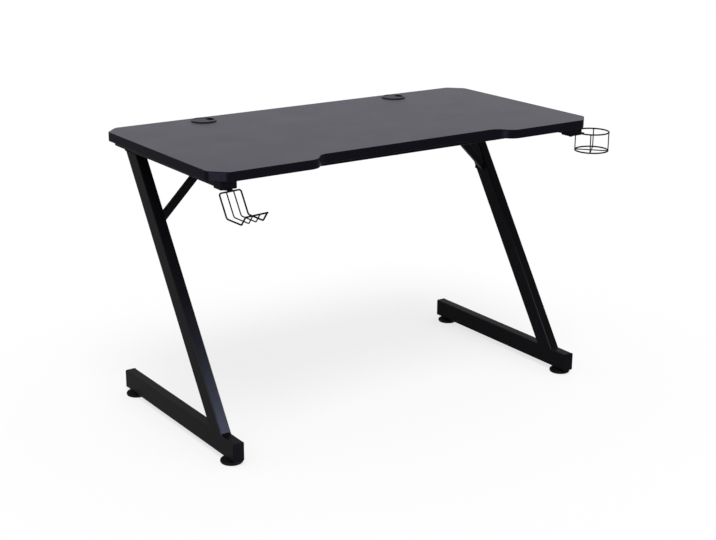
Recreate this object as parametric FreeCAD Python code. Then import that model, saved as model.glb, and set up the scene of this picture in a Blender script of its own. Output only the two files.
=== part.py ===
import FreeCAD
import Part
import math
import os

from FreeCAD import Placement, Rotation, Vector

# Gaming desk: a board with a shallow front recess on two steel side frames.
# Each side frame is a leaning leg between a floor bar and a rail under the board.
# X runs to the sitter's right, Y to the back and Z up, in millimetres.
# The pieces are drawn about the middle of the board, on the floor.
# At the end they move together, so that the origin is the bottom middle of the whole box.

# Overall size
desk_width = 1200.0
desk_depth = 610.0
desk_height = 750.0

# Board and its edge band
top_thickness = 24.0
corner_cut = 40.0
corner_blend = 20.0
recess_depth = 40.0
recess_flat_width = 520.0
recess_mouth_width = 660.0
band_thickness = 2.0
band_round = 1.5

# Steel tubes, with one wall for all
tube_wall = 1.5
rail_width = 40.0
rail_height = 20.0
rail_corner = 3.0
rail_end_inset = 21.5
rail_side_inset = 48.5
beam_width = 40.0
beam_height = 20.0
beam_corner = 3.0
front_beam_inset = 108.0
leg_width = 30.0
leg_depth = 50.0
leg_corner = 3.0
leg_top_inset = 100.0
leg_foot_inset = 90.0
bar_width = 30.0
bar_height = 50.0
bar_corner = 3.0
bar_front_inset = 1.5
bar_rear_inset = 11.5

# Welds of the side frames, and the crossbeams' welded end plates
weld_size = 5.0
weld_swell = 0.7
beam_plate = 3.0
beam_plate_length = 80.0
beam_bolt_pitch = 60.0

# Braces from the legs to the rear crossbeam
brace_width = 20.0
brace_depth = 15.0
brace_corner = 2.5
brace_drop = 155.0
rear_beam_lead = 11.75
brace_plate = 3.0
brace_pad_margin = 6.0
brace_pad_round = 3.0
brace_bolt_gap = 9.0

# Plastic caps on the tube ends
cap_flange = 2.5
cap_lip = 0.6
cap_round = 1.2
cap_depth = 14.0
cap_wall = 2.0
shoe_wall = 2.5
shoe_front = 3.0
shoe_depth = 31.0
shoe_round = 2.5

# Levelling feet
pad_radius = 29.3
pad_base_radius = 27.3
pad_shoulder_radius = 27.8
pad_hub_radius = 10.0
pad_belt_height = 4.0
pad_side_height = 8.0
pad_height = 12.4
pad_gap = 0.6
pad_inset = 34.0
stud_radius = 4.0
stud_length = 40.0
stud_head_flats = 13.0
stud_head_height = 5.0
stud_head_base = 3.0
foot_nut_flats = 13.0
foot_nut_height = 8.0

# Cable grommets
grommet_side_inset = 280.0
grommet_inset = 50.0
grommet_hole_radius = 30.0
grommet_flange_radius = 35.0
grommet_flange_height = 4.5
grommet_flange_sink = 0.5
grommet_flange_round = 2.0
grommet_seat_radius = 29.0
grommet_sleeve_length = 22.0
grommet_sleeve_wall = 2.2
grommet_ledge_radius = 26.0
grommet_ledge_height = 3.0
grommet_skirt_length = 7.0
grommet_skirt_wall = 2.0
lid_recess = 1.0
slot_width = 28.0
slot_end_gap = 8.0

# Wire goods
wire_radius = 2.1
light_wire_radius = 1.6
tab_bolt_inset = 17.5
tab_turn = 7.5
tab_width = 14.0
tab_thickness = 2.5
tab_tail = 9.0
cup_reach = 95.0
cup_ring_radius = 46.5
cup_depth = 52.5
cup_post_turn = 34.0
hook_bar_reach = 20.0
hook_width = 63.5
hook_lean = 28.0
hook_drop = 55.5
hook_shelf = 55.5
hook_shelf_fall = 3.2
hook_lip_reach = 14.5
hook_lip_rise = 20.0
hook_top_bend = 6.0
hook_heel_bend = 9.0
hook_toe_bend = 4.0

# Screws, bolts and nuts
screw_radius = 2.5
screw_length = 35.0
screw_head_radius = 5.5
screw_head_height = 4.5
bolt_radius = 3.0
bolt_length = 12.0
bolt_head_radius = 5.5
bolt_head_height = 3.3
tab_bolt_length = 15.0
nut_flats = 10.0
nut_height = 5.0

# Places of the screws that hold the board, as shares of the tube's length
rail_screw_shares = (-0.38, 0.0, 0.45)
front_beam_screw_shares = (-0.3, 0.0, 0.3)
rear_beam_screw_shares = (-0.2, 0.0, 0.2)

# A pair of bolts about its middle, as shares of their pitch
pair_shares = (-0.5, 0.5)

# Fits
plug_clearance = 0.1
hole_clearance = 0.3
thread_clearance = 0.05
turning_clearance = 0.3
wire_clearance = 0.03
overrun = 5.0
least_edge = 1e-6

# Heights and places worked out from the sizes above
under_z = desk_height - top_thickness
rail_base_z = under_z - rail_height
beam_base_z = under_z - beam_height
front_edge_y = -desk_depth / 2
back_edge_y = desk_depth / 2
rail_x = desk_width / 2 - rail_side_inset
rail_spacing = 2 * rail_x
rail_front_y = front_edge_y + rail_end_inset
rail_rear_y = back_edge_y - rail_end_inset
rail_length = rail_rear_y - rail_front_y
front_beam_y = front_edge_y + front_beam_inset
leg_top_y = back_edge_y - leg_top_inset
leg_foot_y = front_edge_y + leg_foot_inset
bar_base_z = pad_height + pad_gap
bar_top_z = bar_base_z + bar_height
bar_front_y = front_edge_y + bar_front_inset
bar_rear_y = back_edge_y - bar_rear_inset
bar_length = bar_rear_y - bar_front_y
tab_bolt_y = rail_front_y + tab_bolt_inset
leg_run = Vector(0, leg_top_y - leg_foot_y, rail_base_z - bar_top_z)
leg_lean = math.degrees(math.atan2(leg_run.y, leg_run.z))
brace_foot_share = (beam_base_z - brace_drop - bar_top_z) / leg_run.z
rear_beam_y = leg_foot_y + leg_run.y * brace_foot_share - rear_beam_lead

right = Vector(1, 0, 0)
left = Vector(-1, 0, 0)
back = Vector(0, 1, 0)
front = Vector(0, -1, 0)
up = Vector(0, 0, 1)
down = Vector(0, 0, -1)

nodes = {}


def blended_path(points, radii, closed=False):
    """Straight runs through the points, joined by tangent arcs of the given radii."""
    count = len(points)
    corners = []
    for index, point in enumerate(points):
        at_end = not closed and index in (0, count - 1)
        if at_end or radii[index] == 0:
            corners.append((point, None, point))
            continue
        before = (points[index - 1] - point).normalize()
        after = (points[(index + 1) % count] - point).normalize()
        half_turn = (math.pi - before.getAngle(after)) / 2
        reach = radii[index] * math.tan(half_turn)
        inward = (before + after).normalize()
        middle = point + inward * (radii[index] / math.cos(half_turn) - radii[index])
        corners.append((point + before * reach, middle, point + after * reach))
    edges = []
    for index, (start, middle, end) in enumerate(corners):
        if middle is not None:
            edges.append(Part.Arc(start, middle, end).toShape())
        if closed or index < count - 1:
            following = corners[(index + 1) % count][0]
            if end.distanceToPoint(following) > least_edge:
                edges.append(Part.LineSegment(end, following).toShape())
    return Part.Wire(edges)


def rounded_rectangle(width, height, corner):
    """Closed wire in the XY plane, about the origin."""
    half_w = width / 2
    half_h = height / 2
    points = [
        Vector(half_w, -half_h, 0),
        Vector(half_w, half_h, 0),
        Vector(-half_w, half_h, 0),
        Vector(-half_w, -half_h, 0),
    ]
    return blended_path(points, [corner] * len(points), closed=True)


def prism(wire, length):
    return Part.Face(wire).extrude(up * length)


def solid_bar(width, depth, corner, length):
    return prism(rounded_rectangle(width, depth, corner), length)


def bar_bore(width, depth, corner, length, wall):
    inner_corner = max(corner - wall, 0)
    return solid_bar(width - 2 * wall, depth - 2 * wall, inner_corner, length)


def hollow_bar(width, depth, corner, length):
    bore = bar_bore(width, depth, corner, length, tube_wall)
    return solid_bar(width, depth, corner, length).cut(bore)


def placed(shape, position, direction=up):
    """Copy with its local Z turned to the direction and its origin at the position."""
    moved = shape.copy()
    moved.Placement = Placement(position, Rotation(up, direction))
    return moved


def rod(start, direction, radius, length):
    return Part.makeCylinder(radius, length, start, direction)


def hexagon(start, direction, flats, height):
    corner_radius = flats / math.sqrt(3)
    turns = [math.radians(60 * step) for step in range(7)]
    outline = Part.makePolygon(
        [Vector(corner_radius * math.cos(turn), corner_radius * math.sin(turn), 0) for turn in turns]
    )
    return placed(prism(outline, height), start, direction)


def hole(seat, direction, radius, depth):
    """Cutter that starts a little before the seat and runs on for the depth."""
    return rod(seat - direction * overrun, direction, radius, depth + overrun)


def round_head(seat, direction, radius, length, head_radius, head_height):
    """Screw or bolt whose head rests on the seat and whose shank points along the direction."""
    shank = rod(seat, direction, radius, length)
    return shank.fuse(rod(seat, direction * -1, head_radius, head_height)).removeSplitter()


def hex_nut(seat, direction, flats, height, bore_radius):
    bore = hole(seat, direction, bore_radius, height + overrun)
    return hexagon(seat, direction, flats, height).cut(bore)


def mirrored(shape):
    return shape.mirror(Vector(0, 0, 0), right)


def slab(low_z, high_z):
    """Wide level block between two heights."""
    width = 2 * desk_width
    depth = 2 * desk_depth
    return Part.makeBox(width, depth, high_z - low_z, Vector(-width / 2, -depth / 2, low_z))


def add_pair(name, right_shape):
    nodes["right_" + name] = right_shape
    nodes["left_" + name] = mirrored(right_shape)


# Board

def desktop_outline():
    """Plan of the board: four cut corners and a front recess with S-curved ends."""
    half_width = desk_width / 2
    recess_y = front_edge_y + recess_depth
    run = (recess_mouth_width - recess_flat_width) / 2
    curve_radius = (run ** 2 + recess_depth ** 2) / (4 * recess_depth)
    reach = curve_radius * recess_depth / run
    half = [
        (recess_flat_width / 2 + reach, recess_y, curve_radius),
        (recess_mouth_width / 2 - reach, front_edge_y, curve_radius),
        (half_width - corner_cut, front_edge_y, corner_blend),
        (half_width, front_edge_y + corner_cut, corner_blend),
        (half_width, back_edge_y - corner_cut, corner_blend),
        (half_width - corner_cut, back_edge_y, corner_blend),
    ]
    other_half = [(-x, y, radius) for x, y, radius in reversed(half)]
    points = [Vector(x, y, under_z) for x, y, radius in half + other_half]
    radii = [radius for x, y, radius in half + other_half]
    return blended_path(points, radii, closed=True)


def screw_places():
    """Seats of the screws that go up through the rails and crossbeams into the board."""
    seats = []
    for side in (-1, 1):
        seats += [Vector(side * rail_x, share * rail_length, rail_base_z) for share in rail_screw_shares]
    for beam_y, shares in ((front_beam_y, front_beam_screw_shares), (rear_beam_y, rear_beam_screw_shares)):
        seats += [Vector(share * rail_spacing, beam_y, beam_base_z) for share in shares]
    return seats


def grommet_centre(side):
    """Middle of the shallow seat in the board that takes a grommet's flange."""
    seat_z = desk_height - grommet_flange_sink
    return Vector(side * (desk_width / 2 - grommet_side_inset), back_edge_y - grommet_inset, seat_z)


def build_desktop():
    outline = desktop_outline()
    whole = prism(outline, top_thickness)
    rims = [edge for edge in whole.Edges if abs(edge.BoundBox.ZMax - edge.BoundBox.ZMin) < least_edge]
    core = prism(outline.makeOffset2D(-band_thickness), top_thickness)
    nodes["desktop_edge_band"] = whole.makeFillet(band_round, rims).cut(core)
    pilots = [rod(seat, up, screw_radius + thread_clearance, screw_length) for seat in screw_places()]
    seats = []
    holes = []
    for side in (-1, 1):
        centre = grommet_centre(side)
        seats.append(rod(centre, up, grommet_flange_radius + hole_clearance, grommet_flange_sink + overrun))
        holes.append(hole(centre, down, grommet_hole_radius, top_thickness + overrun))
    nodes["desktop_board"] = core.cut(pilots + seats + holes)
    nodes["desktop_screws"] = Part.makeCompound([
        round_head(seat, up, screw_radius, screw_length, screw_head_radius, screw_head_height)
        for seat in screw_places()
    ])


# Side frames, drawn on the right and mirrored

def tab_seat(z):
    """Place of the right-hand bolt that holds a tab under a shoe."""
    return Vector(rail_x, tab_bolt_y, z)


def tab_hole_radius():
    return bolt_radius + hole_clearance


def beam_bolt_places(beam_y):
    """Seats on the crossbeam's right end plate."""
    x = rail_x - rail_width / 2 - beam_plate
    z = under_z - min(rail_height, beam_height) / 2
    return [Vector(x, beam_y + share * beam_bolt_pitch, z) for share in pair_shares]


def build_rails():
    tube = placed(
        hollow_bar(rail_width, rail_height, rail_corner, rail_length),
        Vector(rail_x, rail_front_y, rail_base_z + rail_height / 2), back)
    cutters = []
    for seat in screw_places():
        if seat.x > rail_x - rail_width / 2:
            cutters.append(hole(seat, up, screw_radius + hole_clearance, rail_height + overrun))
    for beam_y in (front_beam_y, rear_beam_y):
        for seat in beam_bolt_places(beam_y):
            cutters.append(hole(seat, right, bolt_radius + hole_clearance, beam_plate + 2 * tube_wall))
    cutters.append(hole(tab_seat(rail_base_z), up, tab_hole_radius(), 2 * tube_wall))
    add_pair("side_rail", tube.cut(cutters))
    rear_end = Vector(rail_x, rail_rear_y, rail_base_z + rail_height / 2)
    plug = tube_plug(rail_width, rail_height, rail_corner, 0)
    add_pair("rail_rear_plug", placed(plug, rear_end, back))
    shoe_hole = hole(tab_seat(rail_base_z), down, tab_hole_radius(), shoe_wall + overrun)
    add_pair("rail_shoe", rail_shoe().cut(shoe_hole))


def rail_shoe():
    """Cap that covers the rail's front end on three sides, below and in front."""
    width = rail_width + 2 * shoe_wall
    height = rail_height + shoe_wall
    length = shoe_depth + shoe_front
    corner = Vector(rail_x - width / 2, rail_front_y - shoe_front, rail_base_z - shoe_wall)
    block = Part.makeBox(width, length, height, corner)
    front_y = corner.y
    rounded = []
    for edge in block.Edges:
        box = edge.BoundBox
        on_front = box.YMax - front_y < least_edge
        on_base = box.ZMax - corner.z < least_edge
        upright = on_front and box.ZLength > least_edge
        lengthwise = on_base and box.YLength > least_edge
        crosswise = on_front and on_base
        if upright or lengthwise or crosswise:
            rounded.append(edge)
    block = block.makeFillet(shoe_round, rounded)
    pocket = solid_bar(rail_width, rail_height, rail_corner, shoe_depth + overrun)
    pocket = placed(pocket, Vector(rail_x, rail_front_y, rail_base_z + rail_height / 2), back)
    crown = Part.makeBox(
        rail_width, shoe_depth + overrun, rail_corner + overrun,
        Vector(rail_x - rail_width / 2, rail_front_y, under_z - rail_corner))
    return block.cut([pocket, crown])


def tube_plug(width, depth, corner, lip):
    """Cap for a tube's open end: a flange outside, along +Z, and a hollow plug inside."""
    flange = solid_bar(width + 2 * lip, depth + 2 * lip, corner + lip, cap_flange)
    outer = [edge for edge in flange.Edges if edge.BoundBox.ZMin > cap_flange - least_edge]
    flange = flange.makeFillet(cap_round, outer)
    fit = tube_wall + plug_clearance
    plug = bar_bore(width, depth, corner, cap_depth, fit)
    plug = plug.cut(bar_bore(width, depth, corner, cap_depth, fit + cap_wall))
    return flange.fuse(placed(plug, down * cap_depth)).removeSplitter()


def leg_prism(width, depth, corner):
    """Solid bar along the leg's lean, longer than the leg at both ends."""
    along = Vector(leg_run).normalize()
    length = leg_run.Length + 2 * leg_depth
    shape = prism(rounded_rectangle(width, depth, corner), length)
    start = Vector(rail_x, leg_foot_y, bar_top_z) - along * leg_depth
    shape.Placement = Placement(start, Rotation(right, -leg_lean))
    return shape


def bar_prism():
    start = Vector(rail_x, bar_front_y, bar_base_z + bar_height / 2)
    return placed(solid_bar(bar_width, bar_height, bar_corner, bar_length), start, back)


def build_legs():
    """Legs end level under the rail, and are coped over the floor bar's rounded edges."""
    bore = leg_prism(leg_width - 2 * tube_wall, leg_depth - 2 * tube_wall, max(leg_corner - tube_wall, 0))
    tube = leg_prism(leg_width, leg_depth, leg_corner).cut(bore)
    leg = tube.common(slab(bar_top_z - bar_corner, rail_base_z)).cut(bar_prism())
    bolt_hole = hole(brace_foot_bolt(), right, bolt_radius + hole_clearance, brace_plate + 2 * tube_wall)
    add_pair("leg", leg.cut(bolt_hole))


def weld_bead(start, run, first, second):
    """Bead along a run in the corner of two faces: a triangle with a swollen outer side."""
    low = start + first * weld_size
    high = start + second * weld_size
    middle = (low + high) * 0.5 + (first + second).normalize() * weld_swell
    crown = Part.Arc(low, middle, high).toShape()
    sides = Part.makePolygon([high, start, low])
    return Part.Face(Part.Wire([crown] + sides.Edges)).extrude(run)


def build_welds():
    """Beads across the front and back of each leg's foot, and all round its top."""
    along = Vector(leg_run).normalize()
    half_print = leg_depth / 2 / along.z
    width = leg_width - 2 * max(leg_corner, bar_corner)
    near_x = rail_x - width / 2
    side_run = 2 * (half_print - leg_corner / along.z)
    beads = []
    for outward in (front, back):
        foot = Vector(near_x, leg_foot_y, bar_top_z) + outward * half_print
        top = Vector(near_x, leg_top_y, rail_base_z) + outward * half_print
        beads.append(weld_bead(foot, right * width, outward, along))
        beads.append(weld_bead(top, right * width, outward, along * -1))
    for outward in (left, right):
        side = Vector(rail_x, leg_top_y - side_run / 2, rail_base_z) + outward * (leg_width / 2)
        beads.append(weld_bead(side, back * side_run, outward, down))
    add_pair("weld_beads", Part.makeCompound(beads))


def pad_places():
    return {"front": bar_front_y + pad_inset, "rear": bar_rear_y - pad_inset}


def build_floor_bars():
    bar = hollow_bar(bar_width, bar_height, bar_corner, bar_length)
    bar = placed(bar, Vector(rail_x, bar_front_y, bar_base_z + bar_height / 2), back)
    cutters = []
    for y in pad_places().values():
        seat = Vector(rail_x, y, bar_base_z)
        cutters.append(hole(seat, up, stud_radius + hole_clearance, 2 * tube_wall))
    add_pair("floor_bar", bar.cut(cutters))
    plug = tube_plug(bar_width, bar_height, bar_corner, cap_lip)
    middle_z = bar_base_z + bar_height / 2
    add_pair("bar_front_cap", placed(plug, Vector(rail_x, bar_front_y, middle_z), front))
    add_pair("bar_rear_cap", placed(plug, Vector(rail_x, bar_rear_y, middle_z), back))


# Levelling feet

def pad_shape():
    """Turned saucer with a bulging side, a sloped crown and a flat hub."""
    belt = Part.Arc(
        Vector(pad_base_radius, 0, 0),
        Vector(pad_radius, 0, pad_belt_height),
        Vector(pad_shoulder_radius, 0, pad_side_height)).toShape()
    rest = Part.makePolygon([
        Vector(pad_shoulder_radius, 0, pad_side_height),
        Vector(pad_hub_radius, 0, pad_height),
        Vector(0, 0, pad_height),
        Vector(0, 0, 0),
        Vector(pad_base_radius, 0, 0),
    ])
    profile = Part.Face(Part.Wire([belt] + rest.Edges))
    return profile.revolve(Vector(0, 0, 0), up, 360)


def stud_shape(clearance):
    """Threaded stud with a six-sided head that is moulded into the pad."""
    head = hexagon(up * stud_head_base, up, stud_head_flats + 2 * clearance, stud_head_height)
    shank = rod(up * stud_head_base, up, stud_radius + clearance, stud_length)
    return head.fuse(shank).removeSplitter()


def build_feet():
    pad = pad_shape().cut(stud_shape(0))
    stud = stud_shape(0)
    seat_z = bar_base_z + tube_wall
    nut = hex_nut(up * seat_z, up, foot_nut_flats, foot_nut_height, stud_radius + thread_clearance)
    for end, y in pad_places().items():
        place = Vector(rail_x, y, 0)
        add_pair(end + "_pad", placed(pad, place))
        add_pair(end + "_stud", placed(stud, place))
        add_pair(end + "_foot_nut", nut.translated(place))


# Crossbeams and braces

def build_beams():
    span = rail_spacing - rail_width
    tube_length = span - 2 * beam_plate
    middle_z = beam_base_z + beam_height / 2
    plate = solid_bar(beam_height, beam_plate_length, beam_corner, beam_plate)
    for name, beam_y, shares in (
            ("front_crossbeam", front_beam_y, front_beam_screw_shares),
            ("rear_crossbeam", rear_beam_y, rear_beam_screw_shares)):
        tube = hollow_bar(beam_height, beam_width, beam_corner, tube_length)
        beam = placed(tube, Vector(-tube_length / 2, beam_y, middle_z), right)
        ends = [placed(plate, Vector(x, beam_y, middle_z), right) for x in (-span / 2, tube_length / 2)]
        beam = beam.fuse(ends).removeSplitter()
        cutters = []
        for share in shares:
            seat = Vector(share * rail_spacing, beam_y, beam_base_z)
            cutters.append(hole(seat, up, screw_radius + hole_clearance, beam_height + overrun))
        for seat in beam_bolt_places(beam_y):
            end_hole = hole(seat, right, bolt_radius + hole_clearance, beam_plate + overrun)
            cutters += [end_hole, mirrored(end_hole)]
        if beam_y == rear_beam_y:
            depth = brace_plate + 2 * tube_wall
            brace_hole = hole(brace_top_bolt(), up, bolt_radius + hole_clearance, depth)
            cutters += [brace_hole, mirrored(brace_hole)]
        nodes[name] = beam.cut(cutters)


def brace_foot_face():
    """Where the brace's axis meets its lower plate, beside the leg."""
    x = rail_x - leg_width / 2 - brace_plate
    return Vector(x, rear_beam_y, beam_base_z - brace_drop)


def brace_top_face():
    """Where the brace's axis, at 45 degrees, meets its upper plate."""
    foot = brace_foot_face()
    rise = beam_base_z - brace_plate - foot.z
    return foot + Vector(-rise, 0, rise)


def brace_foot_bolt():
    return brace_foot_face() + back * (brace_depth / 2 + brace_bolt_gap + bolt_radius)


def brace_top_bolt():
    half_print = brace_width / math.sqrt(2)
    return brace_top_face() + left * (half_print + brace_bolt_gap + bolt_radius)


def build_braces():
    """Tube at 45 degrees between a plate on the leg and a plate under the crossbeam."""
    foot = brace_foot_face()
    top = brace_top_face()
    along = (top - foot).normalize()
    half_print = brace_width / math.sqrt(2)
    length = (top - foot).Length + 2 * brace_width
    tube = hollow_bar(brace_width, brace_depth, brace_corner, length)
    tube.Placement = Placement(foot - along * brace_width, Rotation(up, along))
    reach = desk_depth / 2
    room = Part.makeBox(foot.x, reach, top.z - bar_top_z, Vector(0, foot.y - reach / 2, bar_top_z))
    tube = tube.common(room)
    foot_bolt = brace_foot_bolt()
    plate_low_y = foot.y - brace_depth / 2
    plate_high_y = foot_bolt.y + bolt_head_radius + brace_pad_margin
    plate_width = plate_high_y - plate_low_y
    plate_height = 2 * half_print + brace_pad_margin
    lower = solid_bar(plate_height, plate_width, brace_pad_round, brace_plate)
    lower = placed(lower, Vector(foot.x, (plate_low_y + plate_high_y) / 2, foot.z), right)
    top_bolt = brace_top_bolt()
    tip_x = top_bolt.x - bolt_head_radius - brace_pad_margin
    heel_x = top.x + half_print + brace_pad_margin / 2
    upper = solid_bar(heel_x - tip_x, brace_depth + brace_pad_margin, brace_pad_round, brace_plate)
    upper = placed(upper, Vector((tip_x + heel_x) / 2, top.y, top.z))
    brace = tube.fuse([lower, upper]).removeSplitter()
    clear = bolt_radius + hole_clearance
    foot_hole = hole(foot_bolt, right, clear, brace_plate + overrun)
    top_hole = hole(top_bolt, up, clear, brace_plate + overrun)
    add_pair("brace", brace.cut([foot_hole, top_hole]))


def frame_bolt(seat, direction, length):
    return round_head(seat, direction, bolt_radius, length, bolt_head_radius, bolt_head_height)


def frame_nut(seat, direction):
    return hex_nut(seat, direction, nut_flats, nut_height, bolt_radius + thread_clearance)


def build_frame_fasteners():
    beam_bolts = []
    brace_bolts = []
    nuts = []
    for beam_y in (front_beam_y, rear_beam_y):
        for seat in beam_bolt_places(beam_y):
            beam_bolts.append(frame_bolt(seat, right, bolt_length))
            nuts.append(frame_nut(seat + right * (beam_plate + tube_wall), right))
    for seat, direction in ((brace_foot_bolt(), right), (brace_top_bolt(), up)):
        brace_bolts.append(frame_bolt(seat, direction, bolt_length))
        nuts.append(frame_nut(seat + direction * (brace_plate + tube_wall), direction))
    nuts.append(frame_nut(tab_seat(rail_base_z + tube_wall), up))
    tab_bolts = [frame_bolt(tab_seat(rail_base_z - shoe_wall - tab_thickness), up, tab_bolt_length)]
    for name, solids in (
            ("beam_bolts", beam_bolts), ("brace_bolts", brace_bolts),
            ("tab_bolts", tab_bolts), ("weld_nuts", nuts)):
        nodes[name] = Part.makeCompound(solids + [mirrored(solid) for solid in solids])


# Cable grommets

def grommet_ring():
    """Turned sleeve with a flange on the board and a ledge inside that carries the cap."""
    sleeve_radius = grommet_hole_radius - plug_clearance
    outside = rod(down * grommet_sleeve_length, up, sleeve_radius, grommet_sleeve_length)
    flange = rod(Vector(0, 0, 0), up, grommet_flange_radius, grommet_flange_height)
    rim = [edge for edge in flange.Edges if edge.BoundBox.ZMin > grommet_flange_height - least_edge]
    ring = outside.fuse(flange.makeFillet(grommet_flange_round, rim)).removeSplitter()
    seat = hole(up * grommet_flange_height, down, grommet_seat_radius, grommet_flange_height)
    throat = rod(down * grommet_ledge_height, up, grommet_ledge_radius, grommet_ledge_height + overrun)
    bore_top = down * grommet_ledge_height
    bore = rod(bore_top, down, sleeve_radius - grommet_sleeve_wall, grommet_sleeve_length)
    return ring.cut([seat, throat, bore])


def grommet_cap():
    """Disc inside the flange, with a skirt in the ledge and a slot for cables towards +X."""
    disc_radius = grommet_seat_radius - turning_clearance
    disc_base = up * turning_clearance
    disc = rod(disc_base, up, disc_radius, grommet_flange_height - lid_recess - turning_clearance)
    skirt_radius = grommet_ledge_radius - turning_clearance
    skirt = rod(disc_base, down, skirt_radius, grommet_skirt_length)
    skirt = skirt.cut(rod(disc_base, down, skirt_radius - grommet_skirt_wall, grommet_skirt_length))
    cap = disc.fuse(skirt).removeSplitter()
    slot_start = slot_end_gap + slot_width / 2
    low = down * (grommet_skirt_length + overrun)
    height = grommet_flange_height + grommet_skirt_length + 2 * overrun
    slot = rod(low + right * slot_start, up, slot_width / 2, height)
    channel = Part.makeBox(
        grommet_flange_radius - slot_start, slot_width, height,
        low + Vector(slot_start, -slot_width / 2, 0))
    return cap.cut([slot, channel])


def build_grommets():
    ring = grommet_ring()
    cap = grommet_cap()
    for name, side in (("left", -1), ("right", 1)):
        nodes[name + "_grommet_ring"] = placed(ring, grommet_centre(side))
        nodes[name + "_grommet_cap"] = placed(cap, grommet_centre(side))


# Wire goods at the front ends of the rails

def bent_wire(points, radii, gauge):
    """Round wire along straight runs with tangent bends; the gauge is its radius."""
    path = blended_path(points, radii)
    first = path.Edges[0]
    start = first.valueAt(first.FirstParameter)
    along = first.tangentAt(first.FirstParameter)
    section = Part.Wire(Part.makeCircle(gauge, start, along))
    return path.makePipeShell([section], True, False)


def wire_ring(centre, radius):
    return Part.makeTorus(radius, wire_radius, centre, up)


def turned_tab(reach):
    """Flat tab along +X from its bolt, drawn about the bolt's seat under the shoe."""
    tab = Part.makeBox(
        tab_tail + reach, tab_width, tab_thickness, Vector(-tab_tail, -tab_width / 2, -tab_thickness))
    return tab.cut(hole(Vector(0, 0, 0), down, tab_hole_radius(), tab_thickness + overrun))


def on_tab(shape, side, turn):
    """From the frame of a tab's bolt to its place under a shoe, turned about the bolt."""
    moved = shape.copy()
    seat = tab_seat(rail_base_z - shoe_wall)
    place = Placement(Vector(side * seat.x, seat.y, seat.z), Rotation(up, turn))
    moved.Placement = place.multiply(shape.Placement)
    return moved


def build_cup_holder():
    """Two rings with four posts and a crossed floor, welded under a tab on the right."""
    top_z = -tab_thickness - wire_radius - wire_clearance
    base_z = top_z - cup_depth
    gap = wire_radius + wire_clearance
    ring_x = right * cup_reach
    reach = cup_reach - cup_ring_radius + wire_radius
    nodes["cup_holder_tab"] = on_tab(turned_tab(reach), 1, tab_turn)
    nodes["cup_holder_top_ring"] = on_tab(wire_ring(ring_x + up * top_z, cup_ring_radius), 1, tab_turn)
    nodes["cup_holder_base_ring"] = on_tab(wire_ring(ring_x + up * base_z, cup_ring_radius), 1, tab_turn)
    ring_sag = light_wire_radius ** 2 / (2 * (cup_ring_radius - wire_radius))
    run = cup_ring_radius - gap - ring_sag
    light_gap = light_wire_radius + wire_clearance
    posts = []
    floor = []
    for quarter in range(4):
        outward = Rotation(up, cup_post_turn + 90 * quarter).multVec(right)
        post_foot = ring_x + outward * cup_ring_radius + up * (base_z + gap)
        posts.append(rod(post_foot, up, light_wire_radius, cup_depth - 2 * gap))
        if quarter == 0:
            floor.append(rod(ring_x - outward * run + up * base_z, outward, light_wire_radius, 2 * run))
        if quarter in (1, 3):
            start = ring_x + outward * light_gap + up * base_z
            floor.append(rod(start, outward, light_wire_radius, run - light_gap))
    nodes["cup_holder_posts"] = Part.makeCompound([on_tab(post, 1, tab_turn) for post in posts])
    nodes["cup_holder_floor"] = Part.makeCompound([on_tab(wire, 1, tab_turn) for wire in floor])


def build_hook():
    """Four bent wires between a bar under a tab on the left and a bar across the lips."""
    bar_z = -tab_thickness - wire_radius - wire_clearance
    gap = wire_radius + wire_clearance
    half = hook_width / 2
    bar_y = -hook_bar_reach
    heel = (bar_y - hook_lean, bar_z - hook_drop)
    toe = (heel[0] - hook_shelf, heel[1] - hook_shelf_fall)
    tip = (toe[0] - hook_lip_reach, toe[1] + hook_lip_rise)
    profile = [tip, toe, heel, (bar_y, bar_z)]
    outer = [Vector(-half, y, z) for y, z in profile] + [Vector(half, y, z) for y, z in reversed(profile)]
    bends = [0, hook_toe_bend, hook_heel_bend, hook_top_bend]
    nodes["hook_outer_wire"] = on_tab(bent_wire(outer, bends + bends[::-1], wire_radius), -1, tab_turn)
    hang = Vector(0, heel[0] - bar_y, heel[1] - bar_z).normalize()
    inner = []
    for x in (-half / 3, half / 3):
        top = Vector(x, bar_y, bar_z) + hang * gap
        points = [Vector(x, y, z) for y, z in (tip, toe, heel)] + [top]
        wire = bent_wire(points, [0, hook_toe_bend, hook_heel_bend, 0], light_wire_radius)
        inner.append(on_tab(wire, -1, tab_turn))
    nodes["hook_inner_wires"] = Part.makeCompound(inner)
    lift = Vector(0, -hook_lip_reach, hook_lip_rise).normalize() * gap
    lip_start = Vector(-half - wire_radius, tip[0], tip[1]) + lift
    lip_bar = rod(lip_start, right, wire_radius, hook_width + 2 * wire_radius)
    nodes["hook_lip_bar"] = on_tab(lip_bar, -1, tab_turn)
    forward = tab_turn - 90
    nodes["hook_tab"] = on_tab(turned_tab(hook_bar_reach + wire_radius), -1, forward)


def main():
    build_desktop()
    build_rails()
    build_legs()
    build_welds()
    build_floor_bars()
    build_feet()
    build_beams()
    build_braces()
    build_frame_fasteners()
    build_grommets()
    build_cup_holder()
    build_hook()
    box = Part.makeCompound(list(nodes.values())).optimalBoundingBox(False, False)
    origin = Vector((box.XMin + box.XMax) / 2, (box.YMin + box.YMax) / 2, box.ZMin)
    print("origin in the drawing frame: %.4f %.4f %.4f" % tuple(origin))
    os.makedirs("parts", exist_ok=True)
    for name, shape in nodes.items():
        shape.translated(origin * -1).exportStep("parts/%s.step" % name)


main()
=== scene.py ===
"""Finishes, fasteners, welds and threads of a gaming desk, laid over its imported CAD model."""

import math
from collections import namedtuple
from itertools import combinations

import bmesh
import bpy
import numpy as np
from bpy.props import FloatProperty, FloatVectorProperty, PointerProperty
from bpy.types import Operator, Panel, PropertyGroup
from mathutils import Matrix, Vector, noise
from mathutils.bvhtree import BVHTree


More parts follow.
